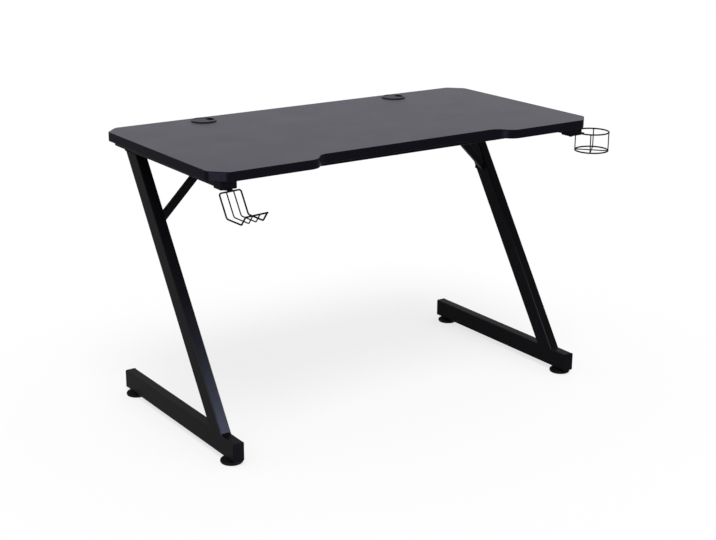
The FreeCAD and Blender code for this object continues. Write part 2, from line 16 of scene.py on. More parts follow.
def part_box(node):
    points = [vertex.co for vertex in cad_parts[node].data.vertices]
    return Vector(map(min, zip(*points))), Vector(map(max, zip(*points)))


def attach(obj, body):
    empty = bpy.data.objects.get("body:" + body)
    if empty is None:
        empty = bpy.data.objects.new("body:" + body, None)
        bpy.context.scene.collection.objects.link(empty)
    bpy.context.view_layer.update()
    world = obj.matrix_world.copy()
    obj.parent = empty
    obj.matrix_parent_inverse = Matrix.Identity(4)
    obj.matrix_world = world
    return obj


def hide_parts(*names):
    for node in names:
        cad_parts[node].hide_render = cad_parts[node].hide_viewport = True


bl_info = {
    "name": "Gaming desk finishes",
    "version": (1, 0, 0),
    "blender": (4, 5, 0),
    "location": "3D View > Sidebar > Desk",
    "description":
        "Finishes, fasteners, welds and threads of a gaming desk with cup holder and hook",
    "category": "Object",
}

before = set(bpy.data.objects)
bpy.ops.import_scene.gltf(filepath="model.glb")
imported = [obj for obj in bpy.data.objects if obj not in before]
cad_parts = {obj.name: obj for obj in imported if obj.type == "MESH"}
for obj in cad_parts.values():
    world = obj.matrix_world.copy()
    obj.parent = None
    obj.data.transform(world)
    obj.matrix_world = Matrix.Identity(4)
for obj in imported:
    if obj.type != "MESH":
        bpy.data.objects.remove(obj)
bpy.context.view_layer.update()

MAIN_BODY = "frame"
SIDES = ("left", "right")
ENDS = ("front", "rear")
CORNERS = tuple(side + "_" + end for side in SIDES for end in ENDS)
CROSSBEAMS = ("front_crossbeam", "rear_crossbeam")
TUBES = tuple(
    side + "_" + name for side in SIDES for name in ("side_rail", "leg", "floor_bar", "brace")
) + CROSSBEAMS
END_CAPS = tuple(
    side + "_" + name for side in SIDES
    for name in ("rail_rear_plug", "rail_shoe", "bar_front_cap", "bar_rear_cap")
)
WIRES = (
    "cup_holder_top_ring", "cup_holder_base_ring", "cup_holder_posts", "cup_holder_floor",
    "hook_outer_wire", "hook_inner_wires", "hook_lip_bar",
)
WIRE_TABS = ("cup_holder_tab", "hook_tab")

WHITE = (1.0, 1.0, 1.0, 1.0)
SENSOR_WIDTH = 36.0     # millimetres
SEAM_GAP = 1e-6         # metres: points nearer than this are one
END_GAP = 1e-5          # metres: points nearer than this to an end lie in it
LEAST = 1e-6            # least sine or cosine that a size is divided by
SQUARE_ON = 0.01        # cosine below which two faces are square to each other
MOSTLY = 0.5            # cosine above which a direction counts as along an axis
CREASE = 35.0           # degrees: edges sharper than this stay sharp
BEAD_CREASE = 60.0      # the same, for beads and lumps of weld
TURN_STEPS = 24         # points round a stud or bolt
THREAD_STEPS = 6        # rings to each turn of a thread
THREAD_DEPTH = 0.6      # depth of a thread, as a share of its pitch
POINT_SLOPE = 0.5       # how far a tapered end draws in, as a share of its length
DOME_STEPS = 6          # steps up a screw head's dome
RIPPLE_STEPS = 7        # rings to each ripple of a bead
CROWN_STEPS = 9         # steps across a bead
BEAM_SEED = 20          # first of the numbers that make the crossbeams' beads differ
BRACE_SEED = 40         # first of those of the braces' beads

Solid = namedtuple("Solid", "points edges")


# Properties: what a user of the desk would change

def colour(name, description, value):
    return FloatVectorProperty(
        name=name, description=description, default=value, size=3, min=0, max=1, subtype="COLOR")


def length(name, description, value):
    return FloatProperty(
        name=name, description=description, default=value, min=0, unit="LENGTH",
        subtype="DISTANCE")


def share(name, description, value):
    return FloatProperty(
        name=name, description=description, default=value, min=0, max=1, subtype="FACTOR")


def power(name, description, value, unit="NONE"):
    return FloatProperty(name=name, description=description, default=value, min=0, unit=unit)


def opening(name, description, degrees):
    return FloatProperty(
        name=name, description=description, default=math.radians(degrees), min=0,
        subtype="ANGLE", unit="ROTATION")


def spot(name, description, value):
    return FloatVectorProperty(
        name=name, description=description, default=value, size=3, subtype="XYZ", unit="LENGTH")


class DeskColours(PropertyGroup):
    """Colours of the desk's finishes."""
    laminate: colour("Laminate", "Satin sheet on the desktop", (0.037, 0.035, 0.050))
    laminate_speck: colour(
        "Laminate speck", "Finer, lighter part of the sheet", (0.052, 0.050, 0.069))
    underside: colour("Underside", "Balancing sheet under the desktop", (0.011, 0.011, 0.012))
    chipboard: colour("Chipboard", "Core that shows inside the drilled holes", (0.33, 0.21, 0.11))
    band: colour("Edge band", "Band round the desktop's edge", (0.0040, 0.0034, 0.0060))
    coat: colour("Powder coat", "Coat of the steel tubes", (0.0035, 0.0033, 0.0043))
    coat_rubbed: colour(
        "Rubbed coat", "Coat where it is scuffed near the floor", (0.0080, 0.0080, 0.0085))
    # Colour of a painted sheen: tube edges near the floor are lightened where a lamp's highlight
    # would fall.
    coat_edge_sheen: colour(
        "Edge sheen", "Coat on tube edges that are lightened near the floor", (0.040, 0.040, 0.047))
    cap: colour("End caps", "Moulded plugs, caps and shoes", (0.0024, 0.0021, 0.0034))
    pad: colour("Foot pads", "Moulded foot pads", (0.0026, 0.0026, 0.0029))
    zinc: colour("Zinc", "Plated studs and nuts", (0.50, 0.51, 0.53))
    zinc_dull: colour("Dull zinc", "Clouded part of the plating", (0.36, 0.36, 0.37))
    blacked: colour("Blacked steel", "Screws and bolts", (0.016, 0.016, 0.017))
    rim: colour("Grommet rim", "Sleeves of the cable grommets", (0.0045, 0.0043, 0.0058))
    lid: colour("Grommet lid", "Lids of the cable grommets", (0.026, 0.025, 0.032))
    wire: colour("Wire coat", "Coat of the cup holder and the hook", (0.0014, 0.0014, 0.0016))


class DeskSizes(PropertyGroup):
    """Sizes of what is added to the CAD model."""
    foot_pitch: length("Foot thread", "Pitch of the studs' thread", 0.00125)
    bolt_pitch: length("Bolt thread", "Pitch of the bolts' thread", 0.001)
    screw_pitch: length("Screw thread", "Pitch of the board screws' thread", 0.0018)
    screw_depth: length("Screw thread depth", "Depth of the board screws' thread", 0.0006)
    socket_flats: length("Socket", "Width across the bolts' hexagon sockets", 0.004)
    socket_depth: length("Socket depth", "Depth of the bolts' hexagon sockets", 0.0019)
    cross_reach: length("Cross recess", "Half length of a recess in a screw head", 0.0026)
    cross_width: length("Cross width", "Half width of a recess in a screw head", 0.0006)
    cross_depth: length("Cross depth", "Depth of a recess in a screw head", 0.0021)
    ripple: length("Weld ripple", "Distance between the ripples of a weld bead", 0.0024)
    ripple_depth: share("Ripple depth", "How far a bead draws in between its ripples", 0.14)
    weld_sink: length("Weld sink", "How far a bead runs into what it joins", 0.0004)
    plate_weld: length("Plate weld", "Leg of the beads on the welded plates", 0.0032)
    beam_width: length("Crossbeam", "Width of the crossbeam tube", 0.040)
    beam_plate: length("Crossbeam plate", "Thickness of a crossbeam's end plates", 0.003)
    brace_width: length("Brace", "Width of the brace tube", 0.020)
    brace_depth: length("Brace depth", "Depth of the brace tube", 0.015)
    tube_corner: length("Tube corner", "Rounding of the tubes' edges", 0.003)
    nugget: length("Wire weld", "Radius of the weld where two wires meet", 0.0021)
    # Height and strength of the painted sheen on the edges of the legs and floor bars.
    sheen_height: length("Sheen height", "Height at which the wear of the tubes' edges ends", 0.50)
    leg_sheen: share("Leg wear", "How far the legs' edges are lightened", 1.0)
    bar_sheen: share("Bar wear", "How far the floor bars' edges are lightened", 0.4)


class DeskStage(PropertyGroup):
    """Camera, floor and light."""
    camera_place: spot("Camera place", "Where the camera stands", (-2.17258, -3.03173, 1.51092))
    camera_turn: FloatVectorProperty(
        name="Camera turn", description="How the camera is turned", size=3, subtype="EULER",
        unit="ROTATION", default=(1.266038, -0.005692, -0.606960))
    camera_lens: FloatProperty(
        name="Lens", description="Focal length on a sensor of 36 mm", default=70.466, min=1,
        unit="CAMERA")
    floor_size: length("Floor", "Half width of the floor", 30.0)
    floor: colour("Floor colour", "Colour of the floor", (0.97, 0.97, 0.97))
    floor_shade: share("Floor shade", "How much of the floor's own light the camera sees", 0.30)
    ambient: share("Ambient", "Light that comes from all round", 0.66)
    key_strength: power("Key", "Strength of the soft key light", 1.36)
    key_angle: opening("Key angle", "Width of the soft key light", 30)
    key_from: FloatVectorProperty(
        name="Key from", description="Direction that the key light comes from", size=3,
        subtype="DIRECTION", default=(-0.18, -0.41, 0.89))
    panel_colour: colour(
        "Panel colour", "Colour of the panels that show in the gloss", (0.60, 0.68, 1.0))
    panel_spread: opening("Panel spread", "Width of the beam that a panel's grid lets out", 44)
    front_panel: spot("Front panel", "Where the front panel hangs", (-0.02, -1.14, 0.66))
    front_aim: spot("Front aim", "Where the front panel points", (-0.60, -0.16, 0.20))
    front_size: length("Front panel size", "Width of the front panel", 0.36)
    front_strength: power("Front panel power", "Power of the front panel", 7.4, "POWER")
    side_panel: spot("Side panel", "Where the side panel hangs", (-2.6, -1.3, 0.40))
    side_aim: spot("Side aim", "Where the side panel points", (0.20, -0.10, 0.45))
    side_size: length("Side panel size", "Width of the side panel", 0.70)
    side_strength: power("Side panel power", "Power of the side panel", 10.0, "POWER")


# Shader building

class Field:
    """Number, colour or vector that changes over a surface: a socket with Python's operators."""

    def __init__(self, tree, socket):
        self.tree = tree
        self.socket = socket

    def maths(self, operation, *values):
        node = self.tree.nodes.new("ShaderNodeMath")
        node.operation = operation
        for socket, value in zip(node.inputs, values):
            if isinstance(value, Field):
                self.tree.links.new(value.socket, socket)
            else:
                socket.default_value = value
        return Field(self.tree, node.outputs[0])

    def __add__(self, other):
        return self.maths("ADD", self, other)

    def __radd__(self, other):
        return self.maths("ADD", other, self)

    def __sub__(self, other):
        return self.maths("SUBTRACT", self, other)

    def __rsub__(self, other):
        return self.maths("SUBTRACT", other, self)

    def __mul__(self, other):
        return self.maths("MULTIPLY", self, other)

    def __rmul__(self, other):
        return self.maths("MULTIPLY", other, self)

    def __abs__(self):
        return self.maths("ABSOLUTE", self)

    def least(self, other):
        return self.maths("MINIMUM", self, other)

    def most(self, other):
        return self.maths("MAXIMUM", self, other)


class Nodes:
    """Node tree to which nodes are added by type, settings and socket values."""

    def __init__(self, tree):
        self.tree = tree
        tree.nodes.clear()

    def add(self, kind, settings=None, sockets=None, output=0):
        """Adds a node of a type. Settings come first, then the values or links of its sockets."""
        node = self.tree.nodes.new("ShaderNode" + kind)
        for name, value in (settings or {}).items():
            setattr(node, name, value)
        for name, value in (sockets or {}).items():
            if isinstance(value, Field):
                self.tree.links.new(value.socket, node.inputs[name])
            else:
                node.inputs[name].default_value = value
        if output is None:
            return node
        return Field(self.tree, node.outputs[output])

    def place(self):
        """Place on the piece at rest, which moves with the piece."""
        return self.add("TexCoord", output="Object")

    def axis(self, place, name):
        return self.add("SeparateXYZ", sockets={"Vector": place}, output=name)

    def facing(self, way):
        """How squarely the surface looks along a direction, forwards or back."""
        normal = self.add("TexCoord", output="Normal")
        return abs(self.add(
            "VectorMath", {"operation": "DOT_PRODUCT"}, {0: normal, 1: way}, "Value"))

    def stretched(self, place, x, y, z):
        return self.add("VectorMath", {"operation": "MULTIPLY"}, {0: place, 1: (x, y, z)})

    def grain(self, place, scale, detail=2.0, roughness=0.5):
        sockets = {"Vector": place, "Scale": scale, "Detail": detail, "Roughness": roughness}
        return self.add("TexNoise", sockets=sockets)

    def cells(self, place, scale, feature="F1"):
        return self.add("TexVoronoi", {"feature": feature}, {"Vector": place, "Scale": scale})

    def rise(self, value, low, high):
        """From 0 at low to 1 at high, smoothly."""
        settings = {"interpolation_type": "SMOOTHSTEP", "clamp": True}
        return self.add("MapRange", settings, {"Value": value, "From Min": low, "From Max": high})

    def mixed(self, factor, first, second):
        """Colour between two colours."""
        first, second = (
            value if isinstance(value, Field) else (*value, 1.0) for value in (first, second))
        settings = {"data_type": "RGBA", "clamp_factor": True}
        return self.add("Mix", settings, {0: factor, 6: first, 7: second}, 2)

    def bumped(self, height, strength, distance):
        sockets = {"Strength": strength, "Distance": distance, "Height": height}
        return self.add("Bump", sockets=sockets)


class Finish(Nodes):
    """Material with one shader, whose sockets are set by name."""

    def __init__(self, name):
        self.material = bpy.data.materials.new(name)
        self.material.use_nodes = True
        super().__init__(self.material.node_tree)
        self.shader = self.add("BsdfPrincipled", output=None)
        surface = Field(self.tree, self.shader.outputs[0])
        self.add("OutputMaterial", sockets={"Surface": surface}, output=None)

    def set(self, **sockets):
        for name, value in sockets.items():
            socket = self.shader.inputs[name.replace("_", " ").title().replace("Ior", "IOR")]
            if isinstance(value, Field):
                self.tree.links.new(value.socket, socket)
            else:
                socket.default_value = value
        return self.material


def toned(body, by):
    """Colour that is lighter or darker by a factor."""
    return tuple(by * part for part in body)


def dress(material, *names):
    """Gives CAD nodes a finish."""
    for name in names:
        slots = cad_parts[name].data.materials
        slots.clear()
        slots.append(material)


# Finishes

def laminate_finish(colours):
    """Satin melamine sheet on top, plain sheet below and chipboard between them."""
    sheet_depth = 0.0008
    sheet_seam = 0.75 * sheet_depth
    cloud_share, fleck_share, chip_share = 0.35, 0.5, 1.4
    core_roughness, sheet_polish, cloud_dulling, fleck_polish = 0.78, 0.36, 0.10, 0.05
    low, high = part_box("desktop_board")
    finish = Finish("desktop_laminate")
    place = finish.place()
    z = finish.axis(place, "Z")
    on_top = finish.rise(z, high.z - sheet_depth, high.z - sheet_seam)
    below = 1 - finish.rise(z, low.z + sheet_seam, low.z + sheet_depth)
    cloud = finish.grain(place, scale=9, detail=3, roughness=0.6)
    fleck = finish.grain(place, scale=900, roughness=0.6)
    specks = cloud * cloud_share + fleck * fleck_share
    sheet = finish.mixed(specks, colours.laminate, colours.laminate_speck)
    chip = finish.cells(place, scale=420)
    core = finish.mixed(chip * chip_share, colours.chipboard, toned(colours.chipboard, by=0.45))
    under = finish.mixed(fleck, colours.underside, toned(colours.underside, by=1.5))
    face = finish.mixed(on_top, finish.mixed(below, core, under), sheet)
    polish = on_top * (sheet_polish - cloud_dulling * cloud)
    roughness = core_roughness - polish - fleck_polish * fleck
    normal = finish.bumped(finish.grain(place, scale=1500), strength=0.12, distance=0.0001)
    return finish.set(base_color=face, roughness=roughness, normal=normal, specular_ior_level=0.09)


def band_finish(colours):
    """Extruded band with fine lines along its run."""
    mottle_share, drawn_share = 0.6, 0.3
    plain_roughness, mottle_dulling = 0.26, 0.12
    finish = Finish("desktop_band")
    place = finish.place()
    lines = finish.stretched(place, x=6, y=6, z=900)
    drawn = finish.grain(lines, scale=1.0, detail=3, roughness=0.6)
    mottle = finish.grain(place, scale=160, detail=3)
    streaks = mottle * mottle_share + drawn * drawn_share
    face = finish.mixed(streaks, colours.band, toned(colours.band, by=1.9))
    roughness = plain_roughness + mottle_dulling * mottle
    normal = finish.bumped(drawn, strength=0.10, distance=0.0001)
    return finish.set(base_color=face, roughness=roughness, normal=normal, specular_ior_level=0.010)


def face_ways(name):
    """Directions in which the flat faces of a tube look."""
    faces = sorted(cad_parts[name].data.polygons, key=lambda face: -face.area)
    first = faces[0].normal
    second = next(face.normal for face in faces if abs(face.normal.dot(first)) < SQUARE_ON)
    return first, second, first.cross(second)


def coat_finish(name, colours, rub_height, ways=(), sheen=0.0, sheen_height=0.0):
    """Satin powder coat: orange peel, clouds, faint scuffs, and a painted sheen that lightens the
    tube edges near the floor.
    """
    cloud_share, rub_share = 0.5, 0.7
    plain_roughness, cloud_dulling, rub_dulling = 0.28, 0.10, 0.12
    finish = Finish(name)
    place = finish.place()
    z = finish.axis(place, "Z")
    peel = finish.grain(place, scale=620, roughness=0.45)
    cloud = finish.grain(place, scale=26, detail=4, roughness=0.6)
    lines = finish.stretched(place, x=60, y=9, z=260)
    streak = finish.grain(lines, scale=1.0, detail=4, roughness=0.65)
    at_floor = 1 - finish.rise(z, low=0.6 * rub_height, high=1.6 * rub_height)
    rub = finish.rise(streak, low=0.60, high=0.78) * at_floor
    face = finish.mixed(cloud * cloud_share, colours.coat, toned(colours.coat, by=1.7))
    face = finish.mixed(rub * rub_share, face, colours.coat_rubbed)
    # Painted highlight: rounded edges between the flat faces are lightened, strongest near the
    # floor and fading upwards, where a lamp's sheen would fall.
    if ways:
        first, second, third = (finish.facing(way) for way in ways)
        edge = 1 - finish.rise(first.most(second).most(third), low=0.80, high=0.97)
        sheen_fade = 1 - finish.rise(z, low=0.2 * sheen_height, high=sheen_height)
        face = finish.mixed(edge * sheen_fade * sheen, face, colours.coat_edge_sheen)
    roughness = plain_roughness + cloud_dulling * cloud + rub_dulling * rub
    normal = finish.bumped(peel, strength=0.16, distance=0.0002)
    return finish.set(base_color=face, roughness=roughness, normal=normal, specular_ior_level=0.017)


def moulded_finish(name, body, pit_scale, dullness, gloss):
    """Moulded plastic with a spark-eroded grain."""
    cloud_share, cloud_dulling = 0.7, 0.14
    finish = Finish(name)
    place = finish.place()
    pits = finish.cells(place, pit_scale, "SMOOTH_F1")
    cloud = finish.grain(place, scale=70, detail=3, roughness=0.55)
    face = finish.mixed(cloud * cloud_share, body, toned(body, by=1.6))
    roughness = dullness + cloud_dulling * cloud
    normal = finish.bumped(pits, strength=0.20, distance=0.00012)
    return finish.set(base_color=face, roughness=roughness, normal=normal, specular_ior_level=gloss)


def plated_finish(colours):
    """Zinc plating, brushed by handling and clouded."""
    plain_roughness, cloud_dulling = 0.24, 0.26
    finish = Finish("zinc_plating")
    place = finish.place()
    cloud = finish.grain(place, scale=240, detail=4, roughness=0.6)
    face = finish.mixed(cloud, colours.zinc, colours.zinc_dull)
    roughness = plain_roughness + cloud_dulling * cloud
    normal = finish.bumped(finish.grain(place, scale=2200), strength=0.06, distance=0.00008)
    return finish.set(base_color=face, roughness=roughness, normal=normal, metallic=1.0)


def blacked_finish(colours):
    """Oiled black steel of bolts and screws, worn a little on its high places."""
    worn_share = 0.5
    plain_roughness, cloud_dulling = 0.36, 0.18
    finish = Finish("blacked_steel")
    place = finish.place()
    cloud = finish.grain(place, scale=420, detail=4, roughness=0.6)
    worn = finish.rise(cloud, low=0.58, high=0.72)
    face = finish.mixed(worn * worn_share, colours.blacked, toned(colours.blacked, by=3.5))
    roughness = plain_roughness + cloud_dulling * cloud
    normal = finish.bumped(finish.grain(place, scale=2600), strength=0.08, distance=0.00008)
    return finish.set(base_color=face, roughness=roughness, normal=normal, metallic=0.55)


def wire_finish(colours):
    """Dip coat of the wires, smooth with slow runs."""
    run_share, run_height, peel_height = 0.6, 0.7, 0.3
    plain_roughness, run_dulling = 0.34, 0.16
    finish = Finish("wire_dip_coat")
    place = finish.place()
    runs = finish.grain(place, scale=180, detail=3, roughness=0.55)
    peel = finish.grain(place, scale=900)
    face = finish.mixed(runs * run_share, colours.wire, toned(colours.wire, by=1.8))
    roughness = plain_roughness + run_dulling * runs
    height = runs * run_height + peel * peel_height
    normal = finish.bumped(height, strength=0.12, distance=0.0002)
    return finish.set(base_color=face, roughness=roughness, normal=normal, specular_ior_level=0.025)


# Mesh building

def skin(mesh, rings):
    """Closed skin over rings of points that turn rightwards round their way, with fans as ends."""
    rows = [[mesh.verts.new(point) for point in ring] for ring in rings]
    count = len(rows[0])
    for lower, upper in zip(rows, rows[1:]):
        for index in range(count):
            after = (index + 1) % count
            mesh.faces.new((lower[index], lower[after], upper[after], upper[index]))
    for row, turned in ((rows[0], True), (rows[-1], False)):
        middle = mesh.verts.new(sum((vert.co for vert in row), Vector()) / count)
        for index in range(count):
            pair = (row[index], row[(index + 1) % count])
            mesh.faces.new((*(reversed(pair) if turned else pair), middle))


def moved(rings, place):
    return [[place @ point for point in row] for row in rings]


def piece_from(mesh, name, material, body, crease=CREASE):
    """Scene object from a mesh: smooth but for its sharp edges, riding a body."""
    bmesh.ops.recalc_face_normals(mesh, faces=mesh.faces)
    data = bpy.data.meshes.new(name)
    mesh.to_mesh(data)
    mesh.free()
    data.shade_smooth()
    data.set_sharp_from_angle(angle=math.radians(crease))
    data.materials.append(material)
    piece = bpy.data.objects.new(name, data)
    bpy.context.scene.collection.objects.link(piece)
    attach(piece, body)
    return piece


def solids_of(node):
    """Each solid in a CAD node: its points, and its edges as pairs of ends."""
    mesh = bmesh.new()
    mesh.from_mesh(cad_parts[node].data)
    bmesh.ops.remove_doubles(mesh, verts=mesh.verts, dist=SEAM_GAP)
    mesh.verts.index_update()
    seen = set()
    solids = []
    for first in mesh.verts:
        if first in seen:
            continue
        seen.add(first)
        group = [first]
        for vert in group:
            for edge in vert.link_edges:
                other = edge.other_vert(vert)
                if other not in seen:
                    seen.add(other)
                    group.append(other)
        edges = sorted(
            {edge for vert in group for edge in vert.link_edges},
            key=lambda edge: [vert.index for vert in edge.verts])
        solids.append(Solid(
            np.array([vert.co for vert in group]),
            [[vert.co.copy() for vert in edge.verts] for edge in edges]))
    mesh.free()
    return solids


class Fastener:
    """Place and sizes of a bolt or screw, measured on its CAD solid."""

    def __init__(self, points):
        head_share = 0.8
        middle = points.mean(axis=0)
        values, ways = np.linalg.eigh(np.cov((points - middle).T))
        # The axis is the direction whose spread differs most from the other two
        lone = 2 if values[2] - values[1] > values[1] - values[0] else 0
        way = ways[:, lone]
        along = (points - middle) @ way
        across = np.linalg.norm(points - middle - np.outer(along, way), axis=1)
        self.head_radius = across.max()
        wide = across > head_share * self.head_radius
        if along[wide].mean() < along.mean():
            way, along = -way, -along
        seat = along[wide].min()
        self.way = Vector(way)
        self.seat = Vector(middle + way * seat)
        self.head_height = along.max() - seat
        self.shank_radius = across[along < along.min() + SEAM_GAP].max()
        self.shank_length = seat - along.min()

    def matrix(self):
        turn = self.way.to_track_quat("Z", "Y")
        return Matrix.Translation(self.seat) @ turn.to_matrix().to_4x4()


def turn_angles():
    return [2 * math.pi * index / TURN_STEPS for index in range(TURN_STEPS)]


def ring(radius, height, angles):
    """Ring of points; the radius is a number or a function of the angle."""
    reach = radius if callable(radius) else lambda angle: radius
    return [Vector((reach(a) * math.cos(a), reach(a) * math.sin(a), height)) for a in angles]


def thread_rings(crest, depth, pitch, low, high, angles, taper=0.0):
    """Rings of a screw thread, upwards from low to high, drawn in over a taper at the low end."""
    steps = max(2, round((high - low) / pitch * THREAD_STEPS))
    rings = []
    for step in range(steps + 1):
        height = low + (high - low) * step / steps
        inset = max(0.0, 1 - (height - low) / taper) * taper * POINT_SLOPE if taper else 0.0

        def reach(angle, height=height, inset=inset):
            turn = (height / pitch - angle / (2 * math.pi)) % 1.0
            return max(crest - depth * abs(2 * turn - 1) - inset, depth)

        rings.append(ring(reach, height, angles))
    return rings


def head_rings(fastener, angles, seat, edge, rim, mouth, bulge):
    """Rings of a screw head: its seat, its edge, and its dome from the rim up to the recess."""
    radius, height = fastener.head_radius, fastener.head_height
    rings = [ring(seat, 0.0, angles), ring(radius, edge, angles)]
    for step in range(DOME_STEPS + 1):
        turn = step / DOME_STEPS * math.pi / 2
        reach = mouth + (radius - mouth) * math.cos(turn) ** bulge
        rings.append(ring(reach, rim + (height - rim) * math.sin(turn), angles))
    return rings


def hexagon(flats):
    """Distance of a hexagon's side from its middle, by angle."""
    def reach(angle):
        sector = math.pi / 3
        return flats / 2 / math.cos((angle + sector / 2) % sector - sector / 2)
    return reach


def cross(arm, width, scale=1.0):
    """Distance of a cross's side from its middle, by angle."""
    def reach(angle):
        c, s = max(abs(math.cos(angle)), LEAST), max(abs(math.sin(angle)), LEAST)
        return scale * max(min(arm / c, width / s), min(arm / s, width / c))
    return reach


def button_bolt(mesh, fastener, sizes):
    """Button head with a hexagon socket on a threaded shank."""
    angles = turn_angles()
    height, flats = fastener.head_height, sizes.socket_flats
    rim = 0.12 * height
    lip = 0.1 * rim
    floor_flats, tip_radius = 0.98 * flats, 0.2 * flats
    tip_depth = 1.25 * sizes.socket_depth
    depth = THREAD_DEPTH * sizes.bolt_pitch
    rings = thread_rings(
        fastener.shank_radius, depth, sizes.bolt_pitch, -fastener.shank_length, 0.0, angles,
        taper=2 * depth)
    rings += head_rings(
        fastener, angles, seat=0.96 * fastener.head_radius, edge=0.5 * rim, rim=rim,
        mouth=1.28 * flats / 2, bulge=0.8)
    rings.append(ring(hexagon(flats), height - lip, angles))
    rings.append(ring(hexagon(floor_flats), height - sizes.socket_depth, angles))
    rings.append(ring(tip_radius, height - tip_depth, angles))
    skin(mesh, moved(rings, fastener.matrix()))


def pan_screw(mesh, fastener, sizes):
    """Pan head with a cross recess on a pointed screw shank."""
    right, diagonal = math.pi / 2, math.pi / 4
    arm = math.atan2(sizes.cross_width, sizes.cross_reach)
    between = (arm + diagonal) / 2
    quarter = (0.0, arm, between, diagonal, right - between, right - arm)
    angles = [index * right + angle for index in range(4) for angle in quarter]
    height, radius = fastener.head_height, fastener.shank_radius
    rim = 0.30 * height
    lip = 0.02 * rim
    floor_scale = 0.55
    rings = thread_rings(
        radius, sizes.screw_depth, sizes.screw_pitch, -fastener.shank_length, 0.0, angles,
        taper=1.7 * radius)
    rings += head_rings(
        fastener, angles, seat=0.97 * fastener.head_radius, edge=0.3 * rim, rim=rim,
        mouth=1.12 * sizes.cross_reach, bulge=0.7)
    mouth = cross(sizes.cross_reach, sizes.cross_width)
    floor = cross(sizes.cross_reach, sizes.cross_width, floor_scale)
    rings.append(ring(mouth, height - lip, angles))
    rings.append(ring(floor, height - sizes.cross_depth, angles))
    skin(mesh, moved(rings, fastener.matrix()))


def weld_bead(mesh, start, run, first, second, size, sizes, seed):
    """Rippled bead along a run, in the corner where two faces lead away from the start."""
    least_steps = 8
    end_length, end_size = 1.1 * size, 0.25
    swell_share, swell_scale, swell_row = 0.10, 150, 0.5
    ripple_bow, seed_shift, crown_power = 0.55, 0.37, 1.35
    inward = -(first + second).normalized() * sizes.weld_sink
    span = run.length
    steps = max(least_steps, round(span / sizes.ripple * RIPPLE_STEPS))
    rings = []
    for step in range(steps + 1):
        along = span * step / steps
        ends = min(1.0, min(along, span - along) / end_length)
        taper = math.sqrt(max(0.0, 1 - (1 - ends) ** 2)) * (1 - end_size) + end_size
        slow = swell_share * noise.noise(Vector((along * swell_scale, seed, swell_row)))
        base = start + inward + run * (step / steps)
        row = [base]
        for index in range(CROWN_STEPS + 1):
            turn = index / CROWN_STEPS * math.pi / 2
            lag = ripple_bow * math.sin(2 * turn)
            phase = (along / sizes.ripple + lag + seed * seed_shift) % 1.0
            crest = math.sqrt(max(0.0, 1 - (2 * phase - 1) ** 2))
            swell = (1 + slow - sizes.ripple_depth * (1 - crest)) * taper
            reach = (size + sizes.weld_sink) * swell
            on_first = first * (reach * math.cos(turn) ** crown_power)
            on_second = second * (reach * math.sin(turn) ** crown_power)
            row.append(base + on_first + on_second)
        rings.append(row)
    skin(mesh, rings)


def corner_of_bead(points):
    """Start, run, the two face directions and the size of a bead, measured on its CAD solid."""
    middle = points.mean(axis=0)
    way = np.linalg.eigh(np.cov((points - middle).T))[1][:, 2]
    along = (points - middle) @ way
    section = points[along < along.min() + END_GAP]

    def area(corners):
        one, two, three = corners
        return np.linalg.norm(np.cross(two - one, three - one))

    tips = max(combinations(section, 3), key=area)

    def beyond(corner):
        """How far other points lie outside the side that faces a corner."""
        one, two = [tip for tip in tips if tip is not corner]
        side = (two - one) / np.linalg.norm(two - one)
        out = (one - corner) - side * np.dot(one - corner, side)
        out = out / np.linalg.norm(out)
        return max(float(np.dot(point - one, out)) for point in section)

    start = max(tips, key=beyond)
    first, second = [tip - start for tip in tips if tip is not start]
    run = Vector(way) * float(along.max() - along.min())
    size = float(np.linalg.norm(first))
    return Vector(start), run, Vector(first).normalized(), Vector(second).normalized(), size


# Operators: one for each piece or group of like pieces

class DESK_OT_board(Operator):
    """Finishes the desktop board and its edge band"""
    bl_idname = "desk.board"
    bl_label = "Desktop"

    def execute(self, context):
        colours = context.scene.desk_colours
        dress(laminate_finish(colours), "desktop_board")
        dress(band_finish(colours), "desktop_edge_band")
        return {"FINISHED"}


class DESK_OT_tubes(Operator):
    """Powder coats rails, legs, floor bars, crossbeams and braces"""
    bl_idname = "desk.tubes"
    bl_label = "Steel tubes"

    def execute(self, context):
        colours, sizes = context.scene.desk_colours, context.scene.desk_sizes
        bar_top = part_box("left_floor_bar")[1].z
        dress(coat_finish("frame_powder_coat", colours, bar_top), *TUBES)
        # Legs and floor bars get a coat whose edges near the floor carry a painted sheen.
        for kind, sheen in (("leg", sizes.leg_sheen), ("floor_bar", sizes.bar_sheen)):
            nodes = [side + "_" + kind for side in SIDES]
            coat = coat_finish(
                kind + "_powder_coat", colours, bar_top, face_ways(nodes[0]), sheen,
                sizes.sheen_height)
            dress(coat, *nodes)
        return {"FINISHED"}


